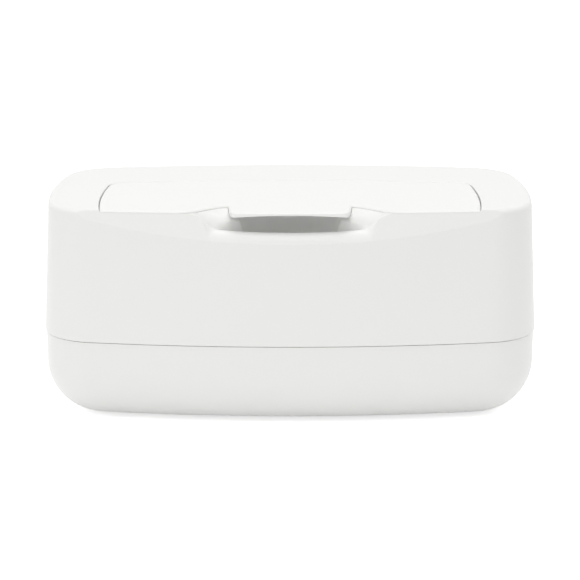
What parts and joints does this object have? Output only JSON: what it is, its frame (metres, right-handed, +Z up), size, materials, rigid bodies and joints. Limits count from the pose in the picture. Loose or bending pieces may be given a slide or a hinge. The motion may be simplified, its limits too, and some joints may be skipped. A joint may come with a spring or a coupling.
{
  "type": "wipes box",
  "caption": "Rounded plastic box for wet wipes: shallow tray, lift-off cover, and a flush hinged lid with a tongue over a scooped finger recess.",
  "frame": {"origin": "on the surface it stands on, under the middle of the box", "axes": "+X to the right along the long side, -Y to the front with the finger recess, +Z up"},
  "size_m": [0.22, 0.1274, 0.0952],
  "materials": {
    "tray_plastic": "satin white",
    "shell_plastic": "satin white",
    "lid_plastic": "satin white",
    "soft_insert": "matt soft",
    "seal_silicone": "matt soft",
    "foot_rubber": "matt soft"
  },
  "bodies": {
    "tray": {"lower_tray": "tray_plastic", "foot_front_left": "foot_rubber", "foot_front_right": "foot_rubber", "foot_rear_left": "foot_rubber", "foot_rear_right": "foot_rubber"},
    "cover": {"upper_shell": "shell_plastic", "dispensing_insert": "soft_insert"},
    "lid": {"lid": "lid_plastic", "lid_seal": "seal_silicone"}
  },
  "joints": [
    {"name": "cover_lift", "type": "slide", "parent": "tray", "child": "cover", "axis": [0, 0, 1], "range_m": [0, 0.04]},
    {"name": "lid_hinge", "type": "hinge", "parent": "cover", "child": "lid", "pos_m": [0, 0.0045, 0.0932], "axis": [-1, 0, 0], "range_deg": [0, 100]}
  ]
}
